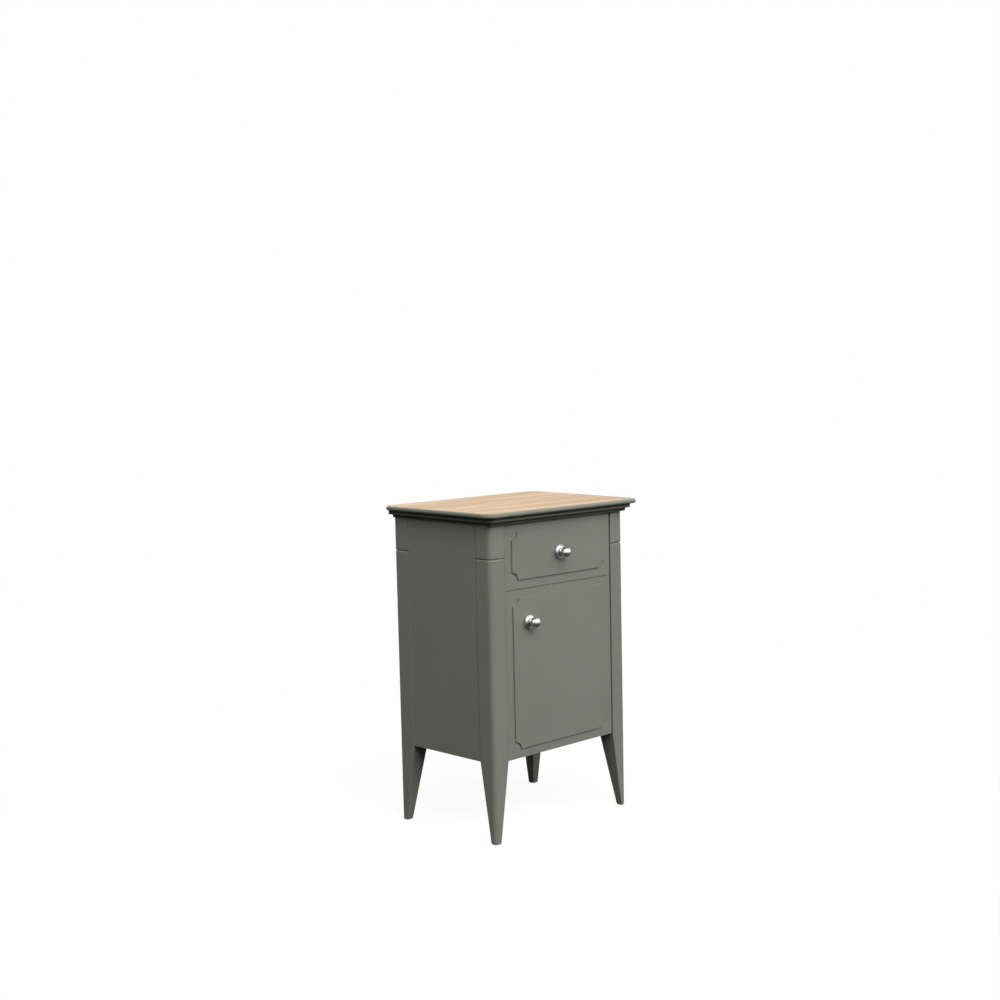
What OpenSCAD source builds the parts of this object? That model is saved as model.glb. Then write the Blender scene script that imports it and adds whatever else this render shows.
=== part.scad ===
// Bedside pot cupboard: four tapered posts, a drawer over a door, a moulded cornice
// and an oak-veneered top. Millimetres, +Z up, front faces -Y.
// The origin is on the floor under the middle of the top board.

/* [Overall] */
// Height from the floor to the top surface
height = 700; // [640:1:780]
// Width over the outer faces of the posts
carcass_w = 400; // [360:1:500]
// Depth over the outer faces of the posts
carcass_d = 304; // [290:1:380]
// Height of the clear legs under the carcass
leg_h = 173; // [120:1:230]

/* [Top board] */
// Thickness of the top board, which has a half-round edge
top_t = 10; // [9:0.5:18]
// How far the top stands out past the posts at each side
top_side_reach = 27; // [22:1:40]
// How far the top stands out past the posts in front
top_front_reach = 31; // [29:1:45]
// How far the top stands out past the posts at the back
top_back_reach = 9; // [0:1:20]
// Radius of the corners of the top in plan
top_corner = 24; // [12:1:30]
// Thickness of the oak veneer sheet let into the top
veneer_t = 0.6; // [0.5:0.1:1.5]
// Width of the flat painted border between the veneer and the rounded edge
veneer_border = 0.5; // [0:0.5:10]

/* [Cornice] */
// Height of the cornice moulding under the top
cornice_h = 17; // [16:0.5:30]
// How far the cornice stands out past the posts
cornice_reach = 19; // [17:0.5:26]
// Height of the square fillet at the top of the cornice
fillet_h = 7; // [4:0.5:8]
// Radius that rounds the fillet's lower edge
fillet_round = 2.5; // [1:0.5:3]
// Radius of the hollow under the fillet
cove_r = 5.5; // [3:0.5:5.5]
// How far the cornice's lowest lip stands out past the posts
lip_reach = 3; // [1:0.5:6]
// Radius of the cornice's outer corners in plan
cornice_corner = 14; // [4:1:16]

/* [Posts] */
// Width of a post, along the front
post_w = 40; // [34:1:50]
// Depth of a post, along the side
post_d = 44; // [34:1:50]
// Width of a leg at the floor
foot_w = 14.5; // [10:0.5:24]
// Depth of a leg at the floor
foot_d = 15.5; // [10:0.5:24]
// Radius of the rounded outer corner of a front post
arris_r = 11; // [4:0.5:14]
// Radius of the rounded outer corner of a rear post
rear_arris_r = 4; // [3:0.5:14]
// Chamfer round the bottom of a foot
foot_chamfer = 1.5; // [0.5:0.5:3]
// Distance from the top surface down to the V-groove round the posts
collar_drop = 98.5; // [60:0.5:140]
// Depth of the V-groove, which is twice as wide
collar_depth = 2.2; // [0.8:0.1:2.5]

/* [Panels] */
// Thickness of the side panels
side_t = 14; // [10:1:18]
// How far the side panels lie behind the posts' outer faces
side_recess = 0.5; // [0.5:0.5:6]
// Gap between a side panel's shoulder and the front post
panel_gap = 1.2; // [0.3:0.1:1.5]
// How far the panels' tongues lie behind the panels' outer faces
tongue_set = 3; // [2.5:0.5:4]
// How deep a panel's edge enters the grooves in the posts
tongue = 8; // [5:0.5:10]
// Thickness of the back panel
back_t = 6; // [4:0.5:8]
// How far the back panel lies in front of the rear posts' back faces
back_recess = 8; // [4:0.5:12]
// Thickness of the floor of the cupboard
base_t = 16; // [12:1:20]
// Thickness of the panel between drawer and door
divider_t = 16; // [12:1:20]
// Depth of the front top rail, front to back
front_rail_d = 60; // [45:1:80]
// Depth of the rear top rail, front to back
rear_rail_d = 40; // [25:1:60]

/* [Door and drawer fronts] */
// Thickness of the door and of the drawer front, without the raised field
front_t = 18; // [16:1:22]
// How far the door and the drawer front lie behind the posts' front faces
front_recess = 2; // [0:0.5:8]
// Gap between each front and the posts
side_gap = 1.8; // [1.7:0.1:3]
// Gap between the drawer front and the cornice
head_gap = 1.5; // [1:0.1:3]
// Gap between the drawer front and the door
split_gap = 1.2; // [1:0.1:4]
// Height of the drawer front
drawer_front_h = 138.5; // [130:0.5:170]
// Gap between the back of the fronts and the panels behind them
stop_gap = 2.5; // [2:0.1:4]
// How far the raised field stands out
field_raise = 3; // [1:0.1:4]
// Width of the border at the sides of the raised field
field_side = 20; // [20:0.5:40]
// Width of the border above the raised field
field_top = 18; // [8:0.5:30]
// Width of the border below the raised field
field_bottom = 20; // [8:0.5:30]
// Radius of the notch at each corner of the raised field
notch_r = 16; // [6:1:24]
// Rounding of the upright front edges of the door and drawer front
edge_round = 1; // [0.8:0.1:2]

/* [Drawer box] */
// Thickness of the drawer sides
box_t = 12; // [12:0.5:14]
// Gap between the drawer sides and the back panel
box_rear_gap = 16; // [6:1:24]
// Height of the drawer sides
box_h = 110; // [80:1:115]
// Height of the drawer sides' lower edge above the divider
box_lift = 5; // [3:0.5:10]
// Gap between a drawer side and the post beside it
box_gap = 2.5; // [2:0.1:5]
// Thickness of the drawer bottom
bottom_t = 5; // [4:0.5:6]
// Height of the drawer bottom above the sides' lower edge
bottom_lift = 8; // [6:0.5:14]
// How deep the drawer bottom enters its grooves
bottom_tongue = 5; // [3:0.5:5.5]
// Thickness of the tongue at the front end of each drawer side
joint_t = 6; // [4:0.5:7]
// How deep that tongue enters the drawer front
joint_depth = 8; // [5:0.5:10]
// How deep the drawer back enters the drawer sides
back_housing = 4; // [2:0.5:4.5]
// How far the drawer pulls out before it meets its stop
drawer_travel = 170; // [140:1:172]

/* [Drawer runners] */
// Height of a runner
runner_h = 12; // [10:0.5:16]
// How far a runner reaches into the groove of its drawer side
runner_bite = 6.5; // [4:0.5:6.5]
// Height of the runners' centre above the divider
runner_lift = 60; // [40:1:80]
// Running clearance above a runner
runner_play = 0.3; // [0.2:0.1:0.6]
// Width of the drawer stop under the front top rail
stop_w = 40; // [20:1:80]
// Thickness of the drawer stop, front to back
stop_t = 16; // [12:1:20]
// How far the drawer stop reaches below the top of the drawer back
stop_catch = 7; // [4:0.5:10]
// Gap between the drawer stop and the drawer back when the drawer is pulled out
stop_air = 0.5; // [0.3:0.1:1]

/* [Knobs] */
// Radius of a knob's round backplate
rose_r = 14.8; // [13:0.1:20]
// Radius of the backplate's foot, which stands on the field
rose_foot = 10; // [7:0.1:12]
// Height of the backplate's front rim above the field
rose_rim = 4; // [3.5:0.1:8]
// Thickness of the backplate at its rim
rose_edge = 1.8; // [1.4:0.1:3]
// Rounding of the rim's front edge
rim_round = 0.8; // [0.4:0.1:1.2]
// Width of the flat land inside the rim
rose_land = 1.9; // [1.5:0.1:3]
// Depth of the step between the land and the backplate's dome
rose_step = 0.5; // [0.3:0.1:1]
// Height of the whole backplate
rose_h = 6.8; // [6:0.1:12]
// Radius of a knob's ball
ball_r = 11.3; // [9:0.1:14]
// Radius of a knob's neck where it meets the ball
neck_r = 4.8; // [3.5:0.1:6]
// Length of a knob's neck between the backplate and the ball
neck_l = 1.6; // [1.5:0.1:4]
// How far the neck flares out where it stands on the backplate
neck_flare = 1.6; // [1:0.1:2]
// Depth of the threaded hole in a knob
socket_depth = 12; // [9:0.5:14]
// Sideways place of the drawer knob from the middle
drawer_knob_x = 0; // [-40:1:40]
// Height of the drawer knob above the drawer front's lower edge
drawer_knob_z = 68; // [40:1:90]
// Distance from the door's free edge to its knob
door_knob_x = 64.5; // [45:0.5:90]
// Distance from the door's top edge down to its knob
door_knob_drop = 70.5; // [45:0.5:120]

/* [Hinges and catch] */
// Distance from the door's front surface back to the hinge pins
pin_back = 5; // [4.5:0.1:5.5]
// Distance from the door's hinge edge to the hinge pins
pin_in = 7; // [6.5:0.1:8]
// Radius of a hinge pin
pin_r = 1.25; // [1:0.05:1.5]
// Radius of the eye of a hinge arm
eye_r = 3; // [2.6:0.1:3]
// Height of the eye of a hinge arm
eye_h = 14; // [10:1:20]
// Thickness of a hinge arm's bar
bar_t = 3; // [2:0.1:3.4]
// Thickness of a hinge arm's plate
plate_t = 2; // [1.5:0.1:2]
// Height of a hinge arm's plate
plate_h = 36; // [30:1:50]
// Thickness of the folded bracket in the door
lug_t = 1.5; // [1:0.1:2]
// Gap between the eye and the bracket's lugs above and below it
lug_air = 0.3; // [0.1:0.1:0.5]
// Clearance round the eye and the bracket in the door's pocket
pocket_air = 0.5; // [0.3:0.1:0.5]
// Width of the bracket's flange on the back of the door
flange_w = 24; // [20:1:30]
// Distance from the door's top and bottom edges to the hinges
hinge_inset = 60; // [40:1:90]
// Width of the magnetic catch
catch_w = 40; // [30:1:50]
// Height of the magnetic catch
catch_h = 12; // [10:1:16]
// Depth of the magnetic catch, front to back
catch_d = 16; // [14:1:20]
// Distance from the door's free edge to the middle of the catch
catch_inset = 38; // [30:1:60]
// How much narrower the strike plate is than the catch
strike_less = 4; // [0:1:8]
// Thickness of the catch's strike plate
strike_t = 1.2; // [1:0.1:1.5]
// Gap between the catch and its strike plate
catch_air = 0.4; // [0.2:0.1:0.8]
// Gap between a hinge arm's plate and the rear edge of its post
plate_inset = 1; // [0.5:0.5:4]

/* [Fixings] */
// Radius of the carcass dowels
dowel_r = 4; // [3:0.5:4]
// Length of the dowels that hold the panels
panel_dowel_l = 28; // [20:1:34]
// Distance from a post to the nearest dowel of the side panels
panel_dowel_in = 33.5; // [15:0.5:60]
// Length of the dowels that hold the top rails
rail_dowel_l = 36; // [24:1:44]
// Shank radius of the small wood screws
screw_r = 1.5; // [1.2:0.1:1.75]
// Head radius of the small wood screws
screw_head_r = 3; // [2.6:0.1:3.4]
// How deep a long screw bites into the post or panel that holds it
long_bite = 14; // [10:0.5:15]
// How deep a short screw bites into the board that holds it
short_bite = 9; // [7:0.5:10]
// How deep the screws of the top bite into it
top_bite = 6; // [4:0.5:7]
// Distance from a post to the nearest screw of the top
top_screw_in = 64; // [20:1:100]
// Distance from a post to the nearest screw of the back panel
back_screw_in = 40; // [15:1:90]
// Distance between the two screws of the catch
catch_screw_pitch = 24; // [18:1:32]
// Distance from the catch's front face to its screws
catch_screw_in = 9.5; // [7:0.5:10]
// Distance from a hinge bracket's pocket to its first screw
cup_screw_in = 7; // [5:0.5:8]
// Distance between the two screws of a hinge bracket
cup_screw_pitch = 11; // [8:0.5:14]
// Radius of the knobs' machine screws
bolt_r = 2; // [1.5:0.1:2.5]
// Height of the head of a knob's screw
bolt_head_h = 2.2; // [1.5:0.1:3]
// Width of the cross slot in the head of a knob's screw
bolt_slot = 1; // [0.8:0.1:1.4]
// Free depth left in front of a knob's screw
bolt_free = 1; // [0.5:0.1:2]
// Wood left behind a dowel's hole in a side panel
dowel_skin = 4; // [3:0.5:5]
// Radial clearance round pins, screws and dowels
fit = 0.05; // [0.02:0.01:0.1]
// Clearance of panels in their grooves
seat = 0.1; // [0.05:0.05:0.2]

/* [Hidden] */
$fn = 48;

PAINT = [0.47, 0.48, 0.44];
OAK = [0.87, 0.75, 0.60];
BIRCH = [0.80, 0.69, 0.52];
NICKEL = [0.75, 0.75, 0.76];
STEEL = [0.62, 0.63, 0.65];

// How far a cutting shape runs past the face that it cuts
over = 1;

// A screw's cross slot, in shares of its head's radius: width, depth and half length
cross_w = 0.28;
cross_deep = 0.35;
cross_l = 0.6;

// Main planes
under_top = height - top_t;
cornice_z = under_top - cornice_h;
half_w = carcass_w / 2;
top_w = carcass_w + 2 * top_side_reach;
top_d = carcass_d + top_front_reach + top_back_reach;
y_front = top_front_reach - top_d / 2;
y_back = top_d / 2 - top_back_reach;
in_x = half_w - post_w;
panel_x = half_w - side_recess - side_t;
post_rear_y = y_front + post_d;
back_post_y = y_back - post_d;
back_y = y_back - back_recess - back_t;

// Fronts
face_y = y_front + front_recess;
field_y = face_y - field_raise;
rear_of_front = face_y + front_t;
inner_y = rear_of_front + stop_gap;
front_half = in_x - side_gap;
drawer_top = cornice_z - head_gap;
drawer_low = drawer_top - drawer_front_h;
door_top = drawer_low - split_gap;
divider_z = (drawer_low + door_top) / 2 - divider_t / 2;
divider_top = divider_z + divider_t;

// Drawer box
box_low = divider_top + box_lift;
box_out = in_x - box_gap;
box_in = box_out - box_t;
bottom_z = box_low + bottom_lift;
runner_z = divider_top + runner_lift;
runner_w = box_gap + runner_bite;
groove_start = inner_y - runner_play;
stop_rear = y_front + front_rail_d;
drawer_back_y = stop_rear + drawer_travel + stop_air;
box_end = back_y - box_rear_gap;
box_top = box_low + box_h;
stop_low = box_top - stop_catch;

// Hinges, whose axis is one upright line
pin_x = front_half - pin_in;
pin_y = face_y + pin_back;
upper_z = door_top - hinge_inset;
lower_z = leg_h + hinge_inset;
lug_z = eye_h / 2 + lug_air;
pocket_h = 2 * (lug_z + lug_t + pocket_air);
cup_x = eye_r + pocket_air;
cup_x0 = pin_x - cup_x - lug_t;
plate_y0 = inner_y;
plate_y1 = post_rear_y - plate_inset;
plate_screw_z = plate_h / 2 - 2 * screw_head_r;

// Knobs
drawer_knob_at = [drawer_knob_x, field_y, drawer_low + drawer_knob_z];
door_knob_at = [door_knob_x - front_half, field_y, door_top - door_knob_drop];
ball_out = rose_h + neck_l + sqrt(ball_r * ball_r - neck_r * neck_r);
spigot_r = neck_r;
bolt_head_r = 2 * bolt_r;

// Catch
catch_x = catch_inset - front_half;
catch_y = rear_of_front + strike_t + catch_air;
strike_w = catch_w - strike_less;

// Screw lengths
top_screw_l = cornice_h + top_bite;
runner_screw_l = runner_w + long_bite;
back_screw_l = back_t + long_bite;
catch_screw_l = catch_h + short_bite;
stop_screw_l = cornice_z - stop_low + short_bite;
plate_screw_l = plate_t + long_bite;
cup_screw_l = lug_t + short_bite;
strike_screw_l = strike_t + short_bite;

// ---------------------------------------------------------------- shapes

function arc(c, r, a0, a1, n = 8) =
    [for (i = [0:n]) c + r * [cos(a0 + (a1 - a0) * i / n), sin(a0 + (a1 - a0) * i / n)]];

// A block from one corner to the opposite one
module block(a, b) {
    translate(a) cube(b - a);
}

// A level plate with rounded corners in plan, centred on the origin
module rounded_plate(w, d, r, h) {
    translate([-w / 2, r - d / 2, 0]) cube([w, d - 2 * r, h]);
    translate([r - w / 2, -d / 2, 0]) cube([w - 2 * r, d, h]);
    for (sx = [-1, 1], sy = [-1, 1])
        translate([sx * (w / 2 - r), sy * (d / 2 - r), 0]) cylinder(r = r, h = h);
}

// A countersunk cross-head screw that points along +Z, its head's face at the origin
module wood_screw(l, r = screw_r, hr = screw_head_r) {
    slot = hr * cross_w;
    difference() {
        union() {
            cylinder(r1 = hr, r2 = r, h = hr - r);
            cylinder(r = r, h = l - 2 * r);
            translate([0, 0, l - 2 * r]) cylinder(r1 = r, r2 = r / 4, h = 2 * r);
        }
        for (a = [0, 90]) rotate([0, 0, a])
            translate([-hr * cross_l, -slot / 2, -over])
                cube([2 * hr * cross_l, slot, over + hr * cross_deep]);
    }
}

// The hole for that screw
module screw_hole(l, r = screw_r, hr = screw_head_r) {
    translate([0, 0, -over]) cylinder(r = hr + fit, h = over + fit);
    translate([0, 0, fit]) cylinder(r1 = hr + fit, r2 = r + fit, h = hr - r);
    cylinder(r = r + fit, h = l + fit);
}

// A grooved dowel lies along X with its middle at the origin
module dowel(l, grow = 0) {
    rotate([0, 90, 0]) cylinder(r = dowel_r + grow, h = l + 2 * grow, center = true);
}

// ---------------------------------------------------------------- places of the fixings

module mirrored_x() {
    children();
    mirror([1, 0, 0]) children();
}

module top_screw_places() {
    for (y = [y_front + front_rail_d / 2, back_y - rear_rail_d / 2], s = [-1, 1])
        translate([s * (in_x - top_screw_in), y, cornice_z]) children();
}

module runner_screw_places() {
    for (y = [(inner_y + post_rear_y) / 2, (back_post_y + back_y) / 2])
        translate([in_x - runner_w, y, runner_z]) rotate([0, 90, 0]) children();
}

module back_screw_places() {
    for (z = [leg_h + base_t / 2, divider_z + divider_t / 2, cornice_z + cornice_h / 2],
         s = [-1, 0, 1])
        translate([s * (in_x - back_screw_in), back_y + back_t, z])
            rotate([90, 0, 0]) children();
}

module catch_screw_places() {
    for (s = [-1, 1])
        translate([catch_x + s * catch_screw_pitch / 2, catch_y + catch_screw_in,
                   divider_z - catch_h]) children();
}

module stop_screw_place() {
    translate([0, stop_rear - stop_t / 2, stop_low]) children();
}

module plate_screw_places(z) {
    for (dz = [-1, 1])
        translate([in_x - plate_t, (plate_y0 + plate_y1) / 2, z + dz * plate_screw_z])
            rotate([0, 90, 0]) children();
}

module cup_screw_places(z) {
    for (x = [cup_screw_in, cup_screw_in + cup_screw_pitch])
        translate([cup_x0 - x, rear_of_front + lug_t, z])
            rotate([90, 0, 0]) children();
}

module strike_screw_place() {
    translate([catch_x, rear_of_front + strike_t, divider_z - catch_h / 2])
        rotate([90, 0, 0]) children();
}

// Dowels between the side panels and the level panels
module panel_dowel_places() {
    x = panel_x + side_t - dowel_skin - panel_dowel_l / 2;
    mid_y = (back_post_y + post_rear_y) / 2;
    reach_y = (back_post_y - post_rear_y) / 2 - panel_dowel_in;
    for (z = [leg_h + base_t / 2, divider_z + divider_t / 2], s = [-1, 0, 1])
        translate([x, mid_y + s * reach_y, z]) children();
}

// Dowels between the posts and the top rails
module rail_dowel_places() {
    for (y = [y_front + post_d / 2, (back_post_y + back_y) / 2])
        translate([in_x, y, cornice_z + cornice_h / 2]) children();
}

// ---------------------------------------------------------------- posts

// Outline of a leg and post: straight outside, tapered inside below the carcass
function post_outline(w, foot) = [
    [foot_chamfer, 0],
    [foot - foot_chamfer, 0],
    [foot + (w - foot) * foot_chamfer / leg_h, foot_chamfer],
    [w, leg_h],
    [w, under_top],
    [0, under_top],
    [0, foot_chamfer]
];

// The V-groove's section, cut into a face that lies at zero
function vee(at, side) = [
    [at + side * collar_depth, 0],
    [at - side * over, collar_depth + over],
    [at - side * over, -collar_depth - over]
];

// A post with its outer corner at the origin and its body towards +X and +Y
module post(rear) {
    slot_w = side_t - tongue_set + 2 * seat;
    r = rear ? rear_arris_r : arris_r;
    difference() {
        intersection() {
            translate([0, post_d, 0]) rotate([90, 0, 0])
                linear_extrude(post_d) polygon(post_outline(post_w, foot_w));
            rotate([90, 0, 90]) linear_extrude(post_w) polygon(post_outline(post_d, foot_d));
            union() {
                block([r, 0, 0], [post_w, post_d, under_top]);
                block([0, r, 0], [post_w, post_d, under_top]);
                translate([r, r, 0]) cylinder(r = r, h = under_top);
            }
        }
        translate([0, 0, height - collar_drop]) {
            translate([r, 0, 0]) rotate([90, 0, 90])
                linear_extrude(post_w) polygon(vee(0, 1));
            translate([0, post_d + r, 0]) rotate([90, 0, 0])
                linear_extrude(post_d) polygon(vee(0, 1));
            translate([r, r, 0]) rotate([0, 0, 180])
                rotate_extrude(angle = 90) polygon(vee(r, -1));
        }
        translate([side_recess + tongue_set - seat, post_d - tongue - seat, leg_h - seat])
            cube([slot_w, tongue + seat + over, under_top]);
        if (rear) translate([post_w - tongue - seat, back_recess - seat, leg_h - seat])
            cube([tongue + seat + over, back_t + 2 * seat, under_top]);
    }
}

// A post in its place: left or right by sx, front or rear by sy
module placed_post(sx, sy) {
    color(PAINT) difference() {
        translate([sx < 0 ? -half_w : half_w, sy < 0 ? y_front : y_back, 0])
            mirror([sx < 0 ? 0 : 1, 0, 0]) mirror([0, sy < 0 ? 0 : 1, 0]) post(sy > 0);
        mirrored_x() {
            rail_dowel_places() dowel(rail_dowel_l, fit);
            runner_screw_places() screw_hole(runner_screw_l);
        }
        if (sx > 0 && sy < 0) for (z = [upper_z, lower_z])
            plate_screw_places(z) screw_hole(plate_screw_l);
    }
}

module post_front_left() placed_post(-1, -1);
module post_front_right() placed_post(1, -1);
module post_rear_left() placed_post(-1, 1);
module post_rear_right() placed_post(1, 1);

// ---------------------------------------------------------------- top and cornice

module veneer_plan(h, grow = 0) {
    inset = top_t / 2 + veneer_border - grow;
    rounded_plate(top_w - 2 * inset, top_d - 2 * inset, max(top_corner - inset, 1), h);
}

module top_board() {
    r = top_t / 2;
    color(PAINT) difference() {
        translate([0, 0, under_top]) {
            rounded_plate(top_w - 2 * r, top_d - 2 * r, top_corner - r, top_t);
            for (s = [-1, 1]) {
                translate([s * (top_w / 2 - r), 0, r]) rotate([90, 0, 0])
                    cylinder(r = r, h = top_d - 2 * top_corner, center = true);
                translate([0, s * (top_d / 2 - r), r]) rotate([0, 90, 0])
                    cylinder(r = r, h = top_w - 2 * top_corner, center = true);
            }
            for (sx = [-1, 1], sy = [-1, 1])
                translate([sx * (top_w / 2 - top_corner), sy * (top_d / 2 - top_corner), r])
                    rotate_extrude() translate([top_corner - r, 0]) circle(r = r);
        }
        translate([0, 0, height - veneer_t]) veneer_plan(veneer_t + over, fit);
        top_screw_places() screw_hole(top_screw_l);
    }
}

module top_veneer() {
    color(OAK) translate([0, 0, height - veneer_t]) veneer_plan(veneer_t);
}

// Section of the cornice: [reach outwards, height], from the underside of the top
function cornice_section(out) = [for (p = concat(
    [[0, 0], [cornice_reach, 0]],
    arc([cornice_reach - fillet_round, -fillet_h], fillet_round, 0, -90, 6),
    arc([lip_reach + cove_r, -fillet_h - fillet_round - cove_r], cove_r, 90, 180, 8),
    [[lip_reach, -cornice_h], [0, -cornice_h]])) [out * p[0], p[1]]];

// What the rounded outer corners leave of the cornice, in plan
module cornice_limit() {
    w = carcass_w + 2 * cornice_reach;
    d = carcass_d + cornice_reach;
    translate([0, (y_front + y_back - cornice_reach) / 2, cornice_z - over])
        rounded_plate(w, d, cornice_corner, cornice_h + 2 * over);
}

module cornice_front() {
    l = carcass_w + 2 * cornice_reach;
    color(PAINT) intersection() {
        translate([-l / 2, y_front, under_top]) rotate([90, 0, 90])
            linear_extrude(l) polygon(cornice_section(-1));
        cornice_limit();
        translate([0, 0, cornice_z - over]) linear_extrude(cornice_h + 2 * over) polygon([
            [-half_w, y_front], [half_w, y_front],
            [half_w + cornice_reach, y_front - cornice_reach],
            [-half_w - cornice_reach, y_front - cornice_reach]]);
    }
}

module cornice_side() {
    l = carcass_d + cornice_reach;
    color(PAINT) intersection() {
        translate([half_w, y_back, under_top]) rotate([90, 0, 0])
            linear_extrude(l) polygon(cornice_section(1));
        cornice_limit();
        translate([0, 0, cornice_z - over]) linear_extrude(cornice_h + 2 * over) polygon([
            [half_w, y_front], [half_w, y_back], [half_w + cornice_reach, y_back],
            [half_w + cornice_reach, y_front - cornice_reach]]);
    }
}

module cornice_right() cornice_side();
module cornice_left() mirror([1, 0, 0]) cornice_side();

// ---------------------------------------------------------------- carcass panels and rails

module side_panel_right() {
    color(PAINT) difference() {
        union() {
            block([panel_x, post_rear_y + panel_gap, leg_h],
                  [panel_x + side_t, back_post_y, under_top]);
            block([panel_x, post_rear_y - tongue, leg_h],
                  [panel_x + side_t - tongue_set, back_post_y + tongue, under_top]);
        }
        panel_dowel_places() dowel(panel_dowel_l, fit);
    }
}

module side_panel_left() mirror([1, 0, 0]) side_panel_right();

module back_panel() {
    color(BIRCH) difference() {
        block([-in_x - tongue, back_y, leg_h], [in_x + tongue, back_y + back_t, under_top]);
        back_screw_places() screw_hole(back_screw_l);
    }
}

// A level panel between the side panels, cut round the posts
module level_panel(z, t) {
    difference() {
        block([-panel_x, inner_y, z], [panel_x, back_y, z + t]);
        mirrored_x() for (y = [[inner_y - over, post_rear_y], [back_post_y, back_y + over]])
            block([in_x, y[0], z - over], [panel_x + over, y[1], z + t + over]);
        mirrored_x() panel_dowel_places() dowel(panel_dowel_l, fit);
        back_screw_places() screw_hole(back_screw_l);
    }
}

module base_panel() color(BIRCH) level_panel(leg_h, base_t);

module divider_panel() {
    color(BIRCH) difference() {
        level_panel(divider_z, divider_t);
        catch_screw_places() screw_hole(catch_screw_l);
    }
}

module top_rail_front() {
    color(PAINT) difference() {
        block([-in_x, y_front, cornice_z], [in_x, stop_rear, under_top]);
        mirrored_x() rail_dowel_places() dowel(rail_dowel_l, fit);
        top_screw_places() screw_hole(top_screw_l);
        stop_screw_place() screw_hole(stop_screw_l);
    }
}

module top_rail_rear() {
    color(BIRCH) difference() {
        block([-in_x, back_y - rear_rail_d, cornice_z], [in_x, back_y, under_top]);
        mirrored_x() rail_dowel_places() dowel(rail_dowel_l, fit);
        top_screw_places() screw_hole(top_screw_l);
        back_screw_places() screw_hole(back_screw_l);
    }
}

module runner_right() {
    color(BIRCH) difference() {
        block([in_x - runner_w, rear_of_front + stop_gap, runner_z - runner_h / 2],
              [in_x, back_y, runner_z + runner_h / 2]);
        runner_screw_places() screw_hole(runner_screw_l);
    }
}

module runner_left() mirror([1, 0, 0]) runner_right();

module drawer_stop() {
    color(BIRCH) difference() {
        block([-stop_w / 2, stop_rear - stop_t, stop_low], [stop_w / 2, stop_rear, cornice_z]);
        stop_screw_place() screw_hole(stop_screw_l);
    }
}

// ---------------------------------------------------------------- fronts

// A front board with rounded upright edges and a raised field with notched corners
module front_board(z0, z1) {
    w = front_half - field_side;
    r = edge_round;
    block([-front_half, face_y + r, z0], [front_half, rear_of_front, z1]);
    block([r - front_half, face_y, z0], [front_half - r, face_y + 2 * r, z1]);
    for (s = [-1, 1])
        translate([s * (front_half - r), face_y + r, z0]) cylinder(r = r, h = z1 - z0);
    difference() {
        block([-w, field_y, z0 + field_bottom], [w, face_y + r, z1 - field_top]);
        for (x = [-w, w], z = [z0 + field_bottom, z1 - field_top])
            translate([x, face_y, z]) rotate([90, 0, 0])
                cylinder(r = notch_r, h = 2 * (field_raise + over), center = true);
    }
}

module knob_bolt_hole(at) {
    deep = front_t + field_raise + over;
    translate(at) rotate([90, 0, 0]) cylinder(r = bolt_r + fit, h = 2 * deep, center = true);
}

module drawer_front() {
    color(PAINT) difference() {
        front_board(drawer_low, drawer_top);
        knob_bolt_hole(drawer_knob_at);
        mirrored_x() block([box_in - seat, rear_of_front - joint_depth - seat, box_low - seat],
                           [box_in + joint_t + seat, rear_of_front + over, box_top + seat]);
        block([-box_in - bottom_tongue, rear_of_front - bottom_tongue, bottom_z - seat],
              [box_in + bottom_tongue, rear_of_front + over, bottom_z + bottom_t + seat]);
    }
}

module drawer_side_right() {
    color(BIRCH) difference() {
        union() {
            block([box_in, rear_of_front, box_low], [box_out, box_end, box_top]);
            block([box_in, rear_of_front - joint_depth, box_low],
                  [box_in + joint_t, rear_of_front + over, box_top]);
        }
        block([box_out - runner_bite - 2 * runner_play, groove_start, runner_z - runner_h / 2 - runner_play],
              [box_out + over, box_end + over, runner_z + runner_h / 2 + runner_play]);
        block([box_in - over, rear_of_front - joint_depth - over, bottom_z - seat],
              [box_in + bottom_tongue + seat, drawer_back_y + box_t, bottom_z + bottom_t + seat]);
        block([box_in - over, drawer_back_y - seat, bottom_z + bottom_t],
              [box_in + back_housing + seat, drawer_back_y + box_t + seat, box_top + over]);
    }
}

module drawer_side_left() mirror([1, 0, 0]) drawer_side_right();

module drawer_back() {
    w = box_in + back_housing;
    color(BIRCH) block([-w, drawer_back_y, bottom_z + bottom_t + seat],
                       [w, drawer_back_y + box_t, box_top]);
}

module drawer_bottom() {
    w = box_in + bottom_tongue;
    color(BIRCH) block([-w + seat, rear_of_front - bottom_tongue + seat, bottom_z],
                       [w - seat, drawer_back_y + box_t - seat, bottom_z + bottom_t]);
}

module door_panel() {
    color(PAINT) difference() {
        front_board(leg_h, door_top);
        knob_bolt_hole(door_knob_at);
        for (z = [upper_z, lower_z]) {
            block([cup_x0 - seat, pin_y - cup_x, z - pocket_h / 2],
                  [front_half + over, rear_of_front + over, z + pocket_h / 2]);
            cup_screw_places(z) screw_hole(cup_screw_l);
        }
        strike_screw_place() screw_hole(strike_screw_l);
    }
}

// ---------------------------------------------------------------- knobs

// Everything of a knob turns about its axis, which leaves the raised field along -Y
module on_field(at) {
    translate(at) rotate([90, 0, 0]) children();
}

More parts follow.
